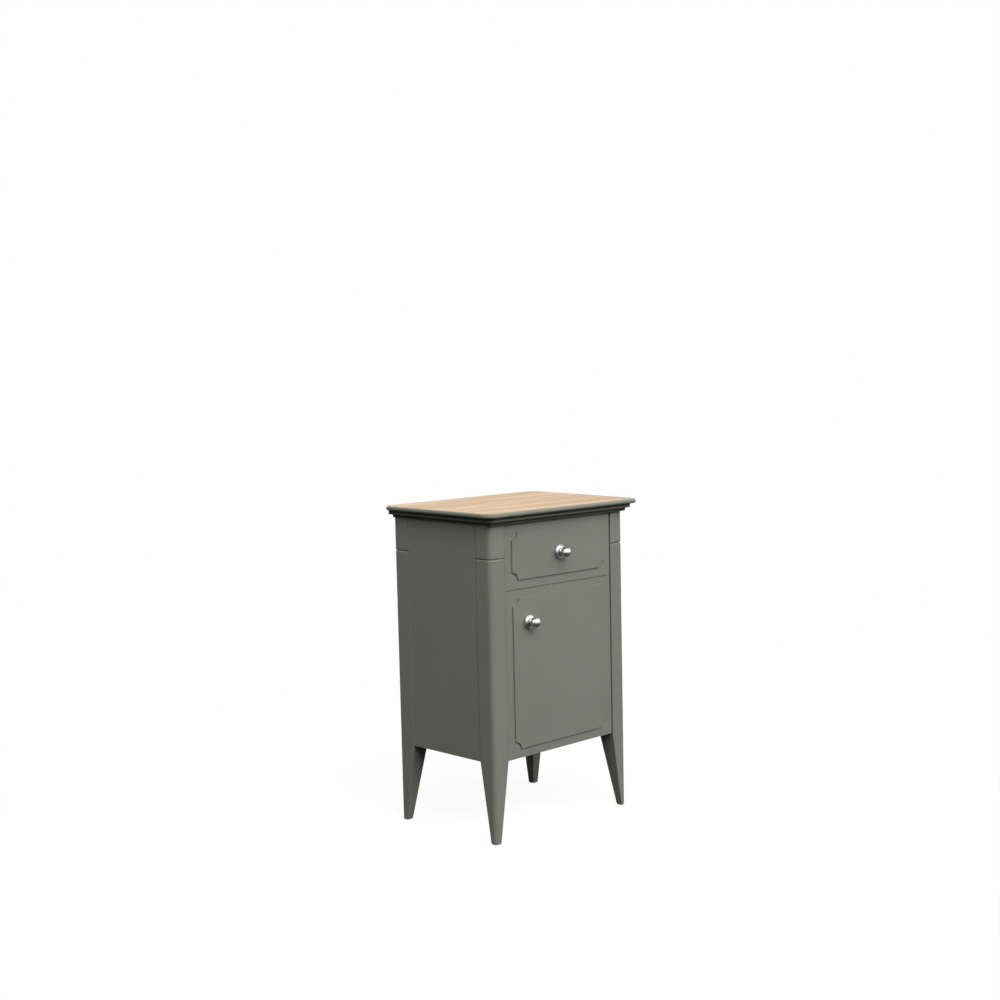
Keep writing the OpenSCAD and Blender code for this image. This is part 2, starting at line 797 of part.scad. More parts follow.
module rose(at) {
    dome_r = rose_r - rose_land;
    dome_z = rose_rim - rose_step;
    crown_r = neck_r + neck_flare;
    color(NICKEL) on_field(at) rotate_extrude() polygon(concat(
        [[spigot_r + fit, 0]],
        [for (i = [0:8]) [rose_foot + (rose_r - rose_foot) * (1 - cos(i / 8 * 90)),
                          (rose_rim - rose_edge) * sin(i / 8 * 90)]],
        arc([rose_r - rim_round, rose_rim - rim_round], rim_round, 0, 90, 4),
        [[dome_r, rose_rim]],
        [for (i = [0:8]) [crown_r + (dome_r - crown_r) * cos(i / 8 * 90),
                          dome_z + (rose_h - dome_z) * sin(i / 8 * 90)]],
        [[spigot_r + fit, rose_h]]));
}

module knob(at) {
    neck_end = rose_h + neck_l;
    color(NICKEL) on_field(at) difference() {
        union() {
            rotate_extrude() polygon(concat(
                [[0, 0], [spigot_r, 0], [spigot_r, rose_h]],
                [for (i = [0:6]) [neck_r + neck_flare * (1 - cos(90 - i / 6 * 90)),
                                  neck_end - neck_l * sin(90 - i / 6 * 90)]],
                [[neck_r, neck_end + over], [0, neck_end + over]]));
            translate([0, 0, ball_out]) sphere(r = ball_r);
        }
        translate([0, 0, -over]) cylinder(r = bolt_r + fit, h = socket_depth + over);
    }
}

module knob_screw(at) {
    shank = front_t + field_raise + socket_depth - bolt_free;
    color(STEEL) translate([at[0], rear_of_front, at[2]]) rotate([90, 0, 0]) difference() {
        union() {
            translate([0, 0, -bolt_head_h]) cylinder(r = bolt_head_r, h = bolt_head_h);
            cylinder(r = bolt_r, h = shank);
        }
        for (a = [0, 90]) rotate([0, 0, a])
            translate([-bolt_head_r * cross_l, -bolt_slot / 2, -bolt_head_h - over])
                cube([2 * bolt_head_r * cross_l, bolt_slot, over + bolt_head_h / 2]);
    }
}

module drawer_knob() knob(drawer_knob_at);
module drawer_knob_rose() rose(drawer_knob_at);
module drawer_knob_screw() knob_screw(drawer_knob_at);
module door_knob() knob(door_knob_at);
module door_knob_rose() rose(door_knob_at);
module door_knob_screw() knob_screw(door_knob_at);

// ---------------------------------------------------------------- hinges and catch

// Cranked arm: plate on the post, cross piece, bar and eye round the pin
module hinge_arm(z) {
    bar_x = pin_x - bar_t / 2;
    color(STEEL) difference() {
        union() {
            block([in_x - plate_t, plate_y0, z - plate_h / 2], [in_x, plate_y1, z + plate_h / 2]);
            block([bar_x, plate_y0, z - eye_h / 2], [in_x, plate_y0 + bar_t, z + eye_h / 2]);
            block([bar_x, pin_y, z - eye_h / 2], [bar_x + bar_t, plate_y0 + bar_t, z + eye_h / 2]);
            translate([pin_x, pin_y, z]) cylinder(r = eye_r, h = eye_h, center = true);
        }
        translate([pin_x, pin_y, z]) cylinder(r = pin_r + fit, h = eye_h + 2 * over, center = true);
        plate_screw_places(z) screw_hole(plate_screw_l);
    }
}

// Folded bracket in the door's pocket: flange, web and two lugs that hold the pin
module hinge_cup(z) {
    web_x = cup_x0 + lug_t;
    color(STEEL) difference() {
        union() {
            block([cup_x0 - flange_w, rear_of_front, z - pocket_h / 2],
                  [web_x, rear_of_front + lug_t, z + pocket_h / 2]);
            block([cup_x0, pin_y - eye_r, z - lug_z - lug_t],
                  [web_x, rear_of_front + lug_t, z + lug_z + lug_t]);
            for (s = [-1, 1]) translate([0, 0, z + s * (lug_z + lug_t / 2)])
                block([cup_x0, pin_y - eye_r, -lug_t / 2], [pin_x + eye_r, pin_y + eye_r, lug_t / 2]);
        }
        translate([pin_x, pin_y, z]) cylinder(r = pin_r + fit, h = pocket_h, center = true);
        cup_screw_places(z) screw_hole(cup_screw_l);
    }
}

module hinge_pin(z) {
    color(STEEL) translate([pin_x, pin_y, z]) cylinder(r = pin_r, h = 2 * (lug_z + lug_t), center = true);
}

module hinge_arm_upper() hinge_arm(upper_z);
module hinge_arm_lower() hinge_arm(lower_z);
module hinge_cup_upper() hinge_cup(upper_z);
module hinge_cup_lower() hinge_cup(lower_z);
module hinge_pin_upper() hinge_pin(upper_z);
module hinge_pin_lower() hinge_pin(lower_z);

module catch_body() {
    color([0.85, 0.84, 0.80]) difference() {
        block([catch_x - catch_w / 2, catch_y, divider_z - catch_h],
              [catch_x + catch_w / 2, catch_y + catch_d, divider_z]);
        catch_screw_places() screw_hole(catch_screw_l);
    }
}

module strike_plate() {
    color(STEEL) difference() {
        block([catch_x - strike_w / 2, rear_of_front, divider_z - catch_h],
              [catch_x + strike_w / 2, rear_of_front + strike_t, divider_z]);
        strike_screw_place() screw_hole(strike_screw_l);
    }
}

// ---------------------------------------------------------------- fixings

module panel_dowels() color(BIRCH) mirrored_x() panel_dowel_places() dowel(panel_dowel_l);
module rail_dowels() color(BIRCH) mirrored_x() rail_dowel_places() dowel(rail_dowel_l);
module top_screws() color(STEEL) top_screw_places() wood_screw(top_screw_l);
module runner_screws() color(STEEL) mirrored_x() runner_screw_places() wood_screw(runner_screw_l);
module back_screws() color(STEEL) back_screw_places() wood_screw(back_screw_l);
module catch_screws() color(STEEL) catch_screw_places() wood_screw(catch_screw_l);
module stop_screw() color(STEEL) stop_screw_place() wood_screw(stop_screw_l);
module strike_screw() color(STEEL) strike_screw_place() wood_screw(strike_screw_l);
module hinge_post_screws() {
    color(STEEL) for (z = [upper_z, lower_z]) plate_screw_places(z) wood_screw(plate_screw_l);
}
module hinge_door_screws() {
    color(STEEL) for (z = [upper_z, lower_z]) cup_screw_places(z) wood_screw(cup_screw_l);
}

// ---------------------------------------------------------------- drawing

top_board();
top_veneer();
cornice_front();
cornice_left();
cornice_right();
post_front_left();
post_front_right();
post_rear_left();
post_rear_right();
side_panel_left();
side_panel_right();
back_panel();
base_panel();
divider_panel();
top_rail_front();
top_rail_rear();
panel_dowels();
rail_dowels();
runner_left();
runner_right();
drawer_stop();
catch_body();
hinge_arm_upper();
hinge_arm_lower();
top_screws();
runner_screws();
back_screws();
catch_screws();
stop_screw();
hinge_post_screws();
drawer_front();
drawer_side_left();
drawer_side_right();
drawer_back();
drawer_bottom();
drawer_knob();
drawer_knob_rose();
drawer_knob_screw();
door_panel();
door_knob();
door_knob_rose();
door_knob_screw();
hinge_cup_upper();
hinge_cup_lower();
hinge_pin_upper();
hinge_pin_lower();
hinge_door_screws();
strike_plate();
strike_screw();
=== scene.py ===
"""Bedside pot cupboard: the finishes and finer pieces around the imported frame.

Lengths are metres in the frame's own axes: +Z up, the drawer and the door face -Y,
and the origin lies on the floor under the middle of the top board.
"""

import math

import bmesh
import bpy
import numpy as np
from bpy.props import FloatProperty, FloatVectorProperty, PointerProperty
from mathutils import Matrix, Vector


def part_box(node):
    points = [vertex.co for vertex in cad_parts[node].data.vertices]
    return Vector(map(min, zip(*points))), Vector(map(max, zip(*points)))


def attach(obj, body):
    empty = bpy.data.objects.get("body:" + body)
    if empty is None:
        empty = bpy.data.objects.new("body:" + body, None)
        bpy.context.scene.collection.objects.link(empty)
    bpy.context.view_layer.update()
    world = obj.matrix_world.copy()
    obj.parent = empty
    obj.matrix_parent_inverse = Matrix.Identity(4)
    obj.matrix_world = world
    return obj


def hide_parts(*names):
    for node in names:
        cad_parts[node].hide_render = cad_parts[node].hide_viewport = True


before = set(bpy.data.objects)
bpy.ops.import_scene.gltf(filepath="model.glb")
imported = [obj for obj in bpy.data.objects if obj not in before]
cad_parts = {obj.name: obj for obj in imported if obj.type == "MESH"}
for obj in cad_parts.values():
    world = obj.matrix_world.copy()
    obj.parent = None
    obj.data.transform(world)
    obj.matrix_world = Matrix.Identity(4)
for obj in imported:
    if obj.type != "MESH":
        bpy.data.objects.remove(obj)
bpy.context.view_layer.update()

bl_info = {
    "name": "Bedside pot cupboard",
    "version": (1, 0, 0),
    "blender": (4, 5, 0),
    "location": "3D View > Sidebar > Cupboard",
    "description": "Finishes and finer pieces of a painted bedside cupboard with an oak top",
    "category": "Object",
}

MM = 0.001

POSTS = ["post_front_left", "post_front_right", "post_rear_left", "post_rear_right"]
SIDES = ["side_panel_left", "side_panel_right"]
FRONTS = {"drawer_front": "drawer", "door_panel": "door"}
KNOBS = {"drawer_knob": "drawer", "door_knob": "door"}

# Bare wooden pieces by the axis that their grain follows
GRAIN_X = ["base_panel", "divider_panel", "top_rail_rear", "drawer_back", "drawer_bottom",
           "drawer_stop", "panel_dowels", "rail_dowels"]
GRAIN_Y = ["runner_left", "runner_right", "drawer_side_left", "drawer_side_right"]
GRAIN_Z = ["back_panel"]
FITTINGS = ["hinge_arm_upper", "hinge_arm_lower", "hinge_cup_upper", "hinge_cup_lower",
            "hinge_pin_upper", "hinge_pin_lower", "strike_plate"]
SCREWS = ["top_screws", "runner_screws", "back_screws", "catch_screws", "stop_screw",
          "hinge_post_screws", "drawer_knob_screw", "door_knob_screw", "hinge_door_screws",
          "strike_screw"]


# ---------------------------------------------------------------- sizes and colours

def length(name, description, default):
    """A length in metres for a settings group."""
    return FloatProperty(name=name, description=description, default=default, min=0.0,
                         unit="LENGTH", subtype="DISTANCE", precision=5)


def colour(name, description, default):
    """A colour, in linear values, for a settings group."""
    return FloatVectorProperty(name=name, description=description, default=default,
                               subtype="COLOR", size=3, min=0.0, max=1.0)


def share(name, description, default, top=1.0):
    """A plain number from nought to top for a settings group."""
    return FloatProperty(name=name, description=description, default=default, min=0.0, max=top)


class TopSettings(bpy.types.PropertyGroup):
    """Sizes of the top board."""
    corner: length("Corner radius", "Radius of the board's corners in plan", 24 * MM)
    lip: length("Painted lip", "Flat painted border outside the veneer", 0.45 * MM)
    veneer: length("Veneer thickness", "Thickness of the oak sheet", 0.6 * MM)


class CorniceSettings(bpy.types.PropertyGroup):
    """Sizes of the cornice moulding's section."""
    fillet: length("Fillet height", "Height of the square upper member", 7 * MM)
    fillet_round: length("Fillet rounding", "Radius under the square member", 2.5 * MM)
    cove: length("Cove radius", "Radius of the hollow", 5.5 * MM)
    lip: length("Lip reach", "How far the lowest lip stands out", 3 * MM)
    corner: length("Corner radius", "Radius of the outer corners in plan", 14 * MM)


class PaintSettings(bpy.types.PropertyGroup):
    """The painted finish."""
    base: colour("Paint", "Colour of the paint", (0.187, 0.196, 0.1635))
    worn: colour("Paint, thin", "Colour where the film is thinner", (0.200, 0.208, 0.1755))
    gloss: share("Roughness", "Mean roughness of the paint", 0.36)
    gleam: share("Specular level", "Strength of the paint's reflection", 0.12)
    ease: length("Eased posts", "Rounding of the posts' edges under the paint", 0.6 * MM)
    fine_ease: length("Eased boards", "Rounding of the panels' and fronts' edges", 0.2 * MM)
    # Painted shade: the next two set how far ambient occlusion reaches and how dark it makes the
    # paint in hollows
    reach: length("Hollow reach", "Distance within which walls count as making a hollow", 30 * MM)
    hollow_shade_tone: share("Hollow shade", "Share of the paint's colour left deep in a hollow", 0.05)


class OakSettings(bpy.types.PropertyGroup):
    """The oak veneer of the top."""
    pale: colour("Pale oak", "Colour of the early wood", (0.620, 0.436, 0.262))
    deep: colour("Deep oak", "Colour of the late wood", (0.400, 0.273, 0.157))
    pore: colour("Pores", "Colour inside the pores", (0.36, 0.235, 0.135))
    gloss: share("Roughness", "Mean roughness of the lacquer", 0.55)


class BareWoodSettings(bpy.types.PropertyGroup):
    """The unpainted birch inside."""
    pale: colour("Pale birch", "Colour of the early wood", (0.70, 0.55, 0.36))
    deep: colour("Deep birch", "Colour of the late wood", (0.58, 0.42, 0.25))
    pore: colour("Flecks", "Colour of the fine flecks", (0.42, 0.28, 0.15))
    gloss: share("Roughness", "Mean roughness of the sealer", 0.6)


class KnobSettings(bpy.types.PropertyGroup):
    """Sizes and finish of the two knobs."""
    foot: length("Foot radius", "Radius of the backplate's foot on the field", 10 * MM)
    rim: length("Rim height", "Height of the backplate's front rim above the field", 4 * MM)
    edge: length("Edge thickness", "Thickness of the backplate at its rim", 1.8 * MM)
    rim_round: length("Rim rounding", "Radius of the rim's front edge", 0.8 * MM)
    land: length("Land", "Width of the flat land inside the rim", 1.9 * MM)
    step: length("Step", "Depth of the step between the land and the dome", 0.5 * MM)
    neck: length("Neck radius", "Radius of the neck where it meets the ball", 4.8 * MM)
    neck_length: length("Neck length", "Length of the neck", 1.6 * MM)
    flare: length("Neck flare", "How far the neck flares on the backplate", 1.6 * MM)
    bore: length("Bore radius", "Radius of the threaded hole", 2.05 * MM)
    bore_depth: length("Bore depth", "Depth of the threaded hole", 12 * MM)
    metal: colour("Metal", "Colour of the plating", (0.57, 0.57, 0.575))
    gloss: share("Roughness", "Mean roughness of the plating", 0.3)


class FittingSettings(bpy.types.PropertyGroup):
    """Finish of the hinges, screws and catch."""
    zinc: colour("Zinc", "Colour of the zinc plating", (0.52, 0.53, 0.545))
    zinc_gloss: share("Zinc roughness", "Mean roughness of the plating", 0.34)
    plastic: colour("Plastic", "Colour of the catch", (0.68, 0.65, 0.58))


class StageSettings(bpy.types.PropertyGroup):
    """Floor, light, dark card and camera."""
    floor: length("Floor size", "Side of the square floor", 16.0)
    shadow_full: length("Shadow reach", "Distance within which the floor shows its shadow", 0.45)
    shadow_end: length("Shadow end", "Distance beyond which the floor is plain white", 1.2)
    shadow_tone: share("Shadow tone", "Grey that takes the light in the shadow's reach", 0.12)
    shadow_glow: share("Shadow glow", "White that the floor adds of itself in that reach", 0.90)
    bounce: share("Bounce", "Grey of the floor to light that bounces off it", 0.03)
    sky: share("Sky", "Strength of the even light from overhead", 0.12, 4.0)
    ground: share("Ground", "Strength of the even light from below the horizon", 0.005, 4.0)
    box_width: length("Softbox width", "Width of each softbox", 7.2)
    box_height: length("Softbox height", "Height of each softbox", 7.2)
    box_reach: length("Softbox distance", "Distance of each softbox", 12.0)
    level: share("Softbox level", "Factor on the light of all softboxes", 1.035, 4.0)
    flag: length("Card size", "Side of the square dark card", 6.0)
    flag_lift: length("Card height", "Height of the dark card above the floor", 4 * MM)
    flag_tone: share("Card tone", "Grey of the dark card", 0.02)
    lens: FloatProperty(name="Lens", description="Focal length in millimetres on a 36 mm sensor",
                        default=56.2816, min=1.0)


# ---------------------------------------------------------------- meshes

def make_object(name, points, faces, smooth_angle=35.0):
    """An object at the origin from an array of points and a list of faces, shaded smooth
    except where two faces meet at more than smooth_angle degrees."""
    mesh = bpy.data.meshes.new(name)
    mesh.from_pydata(np.asarray(points, float).reshape(-1, 3).tolist(), [], faces)
    mesh.validate()
    mesh.polygons.foreach_set("use_smooth", np.ones(len(mesh.polygons), bool))
    mesh.set_sharp_from_angle(angle=math.radians(smooth_angle))
    piece = bpy.data.objects.new(name, mesh)
    bpy.context.scene.collection.objects.link(piece)
    return piece


def grid_faces(rows, columns, wrap_rows=False, wrap_columns=False):
    """The quads of a grid of points, numbered row by row. A wrapped direction joins its last
    line to its first."""
    last_row, last_column = rows - (not wrap_rows), columns - (not wrap_columns)
    r, c = np.meshgrid(np.arange(last_row), np.arange(last_column), indexing="ij")
    below, beside = (r + 1) % rows, (c + 1) % columns
    quads = np.stack([r * columns + c, r * columns + beside,
                      below * columns + beside, below * columns + c], -1)
    return quads.reshape(-1, 4).tolist()


def arc(centre, radius, start, end, steps):
    """Points at equal angles on a circle: the centre plus radius times the cosine and the
    sine of the angle, in degrees."""
    a = np.radians(np.linspace(start, end, steps + 1))
    return np.stack([centre[0] + radius * np.cos(a), centre[1] + radius * np.sin(a)], -1)


def turned(name, profile, at, closed=False, steps=96):
    """A turned piece about the line through at along -Y. Its surface is a function of the turn
    and the place on the profile: radius times cosine and sine of the turn across the axis, and
    the profile's height along it. An open profile starts and ends on the axis and gets a pole
    there, and a closed one makes a ring."""
    turn = np.radians(np.arange(steps) * 360.0 / steps)[:, None]
    radius, height = np.asarray(profile, float).T
    ring = slice(None) if closed else slice(1, -1)
    r, h = radius[ring], height[ring]
    x = at[0] + r * np.cos(turn)
    y = at[1] - h * np.ones_like(turn)
    z = at[2] + r * np.sin(turn)
    points = np.stack([x, y, z], -1).reshape(-1, 3)
    faces = grid_faces(steps, len(r), wrap_rows=True, wrap_columns=closed)
    if not closed:
        poles = [[at[0], at[1] - height[0], at[2]], [at[0], at[1] - height[-1], at[2]]]
        start, end, count = len(points), len(points) + 1, len(r)
        points = np.vstack([points, poles])
        first = np.arange(steps) * count
        following = (np.arange(steps) + 1) % steps * count
        faces += np.stack([np.full(steps, start), first, following], -1).tolist()
        faces += np.stack([np.full(steps, end), following + count - 1, first + count - 1],
                          -1).tolist()
    return outward(make_object(name, points, faces, 30.0))


def outward(piece):
    """Turns a closed mesh's faces so that they point outwards."""
    shell = bmesh.new()
    shell.from_mesh(piece.data)
    bmesh.ops.recalc_face_normals(shell, faces=shell.faces)
    shell.to_mesh(piece.data)
    shell.free()
    return piece


def rounded_ring(low, high, radius, corner_steps=16):
    """The corner centres and outward directions round a rectangle with rounded corners, seen
    from above. A point of the outline drawn in by d is centre + (radius - d) * direction."""
    angle = np.radians(np.arange(4)[:, None] * 90 + np.linspace(0, 90, corner_steps + 1))
    x = np.array([high[0] - radius, low[0] + radius, low[0] + radius, high[0] - radius])
    y = np.array([high[1] - radius, high[1] - radius, low[1] + radius, low[1] + radius])
    centre = np.stack([np.broadcast_to(x[:, None], angle.shape),
                       np.broadcast_to(y[:, None], angle.shape)], -1)
    return centre.reshape(-1, 2), np.stack([np.cos(angle), np.sin(angle)], -1).reshape(-1, 2)


def carried(centre, direction, reach, level):
    """A profile carried along a path: each point is the path's centre plus its direction times
    the profile's reach, at the profile's level. One row for each point of the path."""
    flat = centre[:, None, :] + direction[:, None, :] * np.asarray(reach)[None, :, None]
    z = np.broadcast_to(np.asarray(level)[None, :, None], (*flat.shape[:2], 1))
    return np.concatenate([flat, z], -1)


def plate(name, low, high, radius, profile):
    """A level plate with rounded corners. Its rim is a profile of (distance drawn in, height)
    carried round the outline, and its two flat sides close the profile's ends."""
    centre, direction = rounded_ring(low, high, radius)
    drawn_in, level = np.asarray(profile, float).T
    points = carried(centre, direction, radius - drawn_in, level)
    rows, columns = points.shape[:2]
    faces = grid_faces(rows, columns, wrap_rows=True)
    faces.append((np.arange(rows) * columns).tolist())
    faces.append((np.arange(rows)[::-1] * columns + columns - 1).tolist())
    return outward(make_object(name, points, faces, 30.0))


def eased_copy(node, ease, steps=3):
    """A merged copy of a CAD node whose long outward edges are rounded off by ease. Flat
    regions become single faces first, so that the rounding runs along whole edges."""
    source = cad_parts[node].data
    co = np.empty(len(source.vertices) * 3, np.float32)
    source.vertices.foreach_get("co", co)
    corners = np.empty(len(source.loops), np.int32)
    source.loops.foreach_get("vertex_index", corners)
    key = np.round(co.reshape(-1, 3).astype(float) * 1e6).astype(np.int64)
    kept, merged = np.unique(key, axis=0, return_inverse=True)
    triangles = merged.reshape(-1)[corners].reshape(-1, 3)
    a, b, c = triangles.T
    triangles = triangles[(a != b) & (b != c) & (c != a)]
    piece = make_object(f"{node}_eased", kept * 1e-6, triangles.tolist(), 30.0)
    shell = bmesh.new()
    shell.from_mesh(piece.data)
    bmesh.ops.dissolve_limit(shell, angle_limit=math.radians(0.5), verts=shell.verts,
                             edges=shell.edges, delimit=set())
    weight = shell.edges.layers.float.new("bevel_weight_edge")
    for edge in shell.edges:
        if (edge.is_manifold and edge.is_convex and edge.calc_length() > 0.9 * MM
                and edge.calc_face_angle() > math.radians(30)):
            edge[weight] = 1.0
    shell.to_mesh(piece.data)
    shell.free()
    rounding = piece.modifiers.new("eased_edges", "BEVEL")
    rounding.limit_method = "WEIGHT"
    rounding.width = ease
    rounding.segments = steps
    rounding.use_clamp_overlap = False
    rounding.miter_outer = "MITER_ARC"
    flat = piece.modifiers.new("flat_faces", "WEIGHTED_NORMAL")
    flat.keep_sharp = True
    flat.weight = 100
    return piece


def stand_for(piece, body, slot, material, *nodes):
    """Gives a new piece its material and body, and hides the CAD nodes that it replaces. The slot
    argument is not used.
    """
    piece.data.materials.clear()
    piece.data.materials.append(material)
    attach(piece, body)
    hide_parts(*nodes)
    return piece


def dress(nodes, material):
    """Puts a material on CAD nodes, whose shapes stay as they are."""
    for name in nodes:
        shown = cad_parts[name]
        shown.data.materials.clear()
        shown.data.materials.append(material)


# ---------------------------------------------------------------- shader nodes

class Graph:
    """A short way to write a node tree: each call adds one node, sets its values and links
    its inputs, and gives back its first output."""

    def __init__(self, tree):
        self.tree = tree
        self.column = 0

    def add(self, kind, inputs=None, output=0, **settings):
        node = self.tree.nodes.new(kind)
        self.column += 1
        node.location = (self.column * 180, -(self.column % 4) * 160)
        for name, value in settings.items():
            setattr(node, name, value)
        for name, value in (inputs or {}).items():
            socket = node.inputs[name]
            if isinstance(value, bpy.types.NodeSocket):
                self.tree.links.new(value, socket)
            else:
                socket.default_value = value
        return node.outputs[output] if node.outputs else None

    def noise(self, vector, scale, detail=2.0, roughness=0.5):
        return self.add("ShaderNodeTexNoise", {"Vector": vector, "Scale": scale,
                                               "Detail": detail, "Roughness": roughness})

    def stretch(self, vector, scale, location=(0, 0, 0), rotation=(0, 0, 0)):
        return self.add("ShaderNodeMapping", {"Vector": vector, "Scale": scale,
                                              "Location": location, "Rotation": rotation})

    def ramp(self, value, low, high, to_low=0.0, to_high=1.0):
        return self.add("ShaderNodeMapRange", {"Value": value, "From Min": low,
                                               "From Max": high, "To Min": to_low,
                                               "To Max": to_high})

    def spread(self, noise, low, high):
        """Carries a noise, most of which lies between 0.3 and 0.7, over a range."""
        return self.ramp(noise, 0.3, 0.7, low, high)

    def math(self, operation, first, second=0.0, clamp=False):
        return self.add("ShaderNodeMath", {0: first, 1: second}, operation=operation,
                        use_clamp=clamp)

    def blend(self, factor, first, second):
        return self.add("ShaderNodeMix", {0: factor, 6: first, 7: second}, output=2,
                        data_type="RGBA")

    def bump(self, height, distance, strength=1.0, normal=None):
        inputs = {"Height": height, "Distance": distance, "Strength": strength}
        if normal is not None:
            inputs["Normal"] = normal
        return self.add("ShaderNodeBump", inputs)


def new_group(name, inputs, outputs):
    """An empty shader group with sockets of the given (name, kind, default)."""
    tree = bpy.data.node_groups.new(name, "ShaderNodeTree")
    kinds = {"vector": "NodeSocketVector", "value": "NodeSocketFloat"}
    for socket_name, kind, default in inputs:
        socket = tree.interface.new_socket(name=socket_name, in_out="INPUT",
                                           socket_type=kinds[kind])
        if default is not None:
            socket.default_value = default
    for socket_name, kind in outputs:
        tree.interface.new_socket(name=socket_name, in_out="OUTPUT", socket_type=kinds[kind])
    return tree, tree.nodes.new("NodeGroupInput").outputs


def group_once(name, build):
    """The shader group of that name, built the first time that it is asked for."""
    return bpy.data.node_groups.get(name) or build(name)


def paint_film(name):
    """Brushed paint: slow changes of tint, a fine stipple and faint strokes along Vector's X."""
    tree, given = new_group(name, [("Vector", "vector", None), ("Stroke", "value", 0.5)],
                            [("Tint", "value"), ("Gloss", "value"), ("Height", "value")])
    g = Graph(tree)
    slow = g.noise(given["Vector"], 7.0, 3.0)
    strokes = g.noise(g.stretch(given["Vector"], (14, 620, 620)), 1.0, 3.0, 0.55)
    stipple = g.noise(given["Vector"], 900.0, 2.0)
    tint = g.math("ADD", g.ramp(slow, 0.35, 0.65, 0.0, 0.7), g.spread(strokes, 0.0, 0.3))
    gloss = g.math("ADD", g.spread(slow, -0.04, 0.04),
                   g.spread(stipple, -0.03, 0.03))
    height = g.math("ADD", g.math("MULTIPLY", strokes, given["Stroke"]),
                    g.math("MULTIPLY", stipple, 0.5))
    g.add("NodeGroupOutput", {"Tint": tint, "Gloss": gloss, "Height": height})
    return tree


def wood_grain(name):
    """Wood with its grain along Vector's X: broad figure, fine fibre, and short pores."""
    tree, given = new_group(
        name,
        [("Vector", "vector", None), ("Figure", "value", 1.0), ("Pore size", "value", 1.0)],
        [("Deep", "value"), ("Pores", "value"), ("Gloss", "value"), ("Height", "value")])
    g = Graph(tree)
    vector = given["Vector"]
    warp = g.noise(g.stretch(vector, (2.2, 9, 9)), 1.0, 2.0)
    bent = g.add("ShaderNodeVectorMath", {0: vector, 1: g.add(
        "ShaderNodeCombineXYZ", {"Y": g.ramp(warp, 0.2, 0.8, -0.012, 0.012)})}, operation="ADD")
    broad = g.noise(g.stretch(bent, (2.4, 26, 26)), 1.0, 2.0, 0.5)
    bands = g.noise(g.stretch(bent, (5.0, 95, 95)), 1.0, 3.0, 0.6)
    fibre = g.noise(g.stretch(bent, (26, 900, 900)), 1.0, 3.0, 0.6)
    cells = g.noise(g.stretch(bent, (95, 2300, 2300)), 1.0, 1.0, 0.5)
    dense = g.ramp(bands, 0.42, 0.62, 0.0, 0.06)
    pores = g.ramp(g.math("ADD", cells, dense), 0.66, 0.74)
    figure = g.math("ADD", g.ramp(broad, 0.38, 0.62, 0.0, 0.6),
                    g.ramp(bands, 0.36, 0.64, 0.0, 0.4))
    deep = g.math("ADD", g.math("MULTIPLY", figure, given["Figure"]),
                  g.spread(fibre, -0.12, 0.12), clamp=True)
    pores = g.math("MULTIPLY", pores, given["Pore size"])
    gloss = g.math("ADD", g.spread(fibre, -0.05, 0.05),
                   g.math("MULTIPLY", pores, 0.18))
    height = g.math("SUBTRACT", g.math("MULTIPLY", fibre, 0.35), pores)
    g.add("NodeGroupOutput", {"Deep": deep, "Pores": pores, "Gloss": gloss, "Height": height})
    return tree


def metal_film(name):
    """Plated metal: fine hair lines along Vector's X, faint smudges and tiny pits."""
    tree, given = new_group(name, [("Vector", "vector", None), ("Line", "value", 1.0)],
                            [("Shade", "value"), ("Gloss", "value"), ("Height", "value")])
    g = Graph(tree)
    lines = g.noise(g.stretch(given["Vector"], (60, 5200, 5200)), 1.0, 2.0, 0.6)
    smudge = g.noise(given["Vector"], 160.0, 3.0)
    pits = g.noise(given["Vector"], 4200.0, 1.0)
    shade = g.math("ADD", g.spread(smudge, 0.0, 0.7), g.spread(lines, 0.0, 0.3))
    gloss = g.math("ADD", g.spread(smudge, -0.05, 0.05),
                   g.spread(lines, -0.03, 0.03))
    height = g.math("ADD", g.math("MULTIPLY", lines, given["Line"]),
                    g.math("MULTIPLY", pits, 0.4))
    g.add("NodeGroupOutput", {"Shade": shade, "Gloss": gloss, "Height": height})
    return tree


# Turns that bring Object coordinates to a vector whose X runs along the named axis
ALONG = {"X": (0, 0, 0), "Y": (0, 0, -math.pi / 2), "Z": (0, math.pi / 2, 0)}

# Where the paint and the plating start in their noise, in metres
PAINT_START = (0.4, 0.28, 0)
METAL_START = (0.3, 0.1, 0.2)


def effect(graph, name, build, inputs):
    """Places a shared group in a material and gives back its outputs."""
    node = graph.tree.nodes.new("ShaderNodeGroup")
    node.node_tree = group_once(name, build)
    for socket_name, value in inputs.items():
        if isinstance(value, bpy.types.NodeSocket):
            graph.tree.links.new(value, node.inputs[socket_name])
        else:
            node.inputs[socket_name].default_value = value
    return node.outputs


def new_material(name):
    """A material with its Principled shader and a graph to write in."""
    made = bpy.data.materials.new(name)
    made.use_nodes = True
    return made, Graph(made.node_tree), made.node_tree.nodes["Principled BSDF"]


def opaque(rgb):
    """A colour with its alpha."""
    return (*rgb, 1.0)


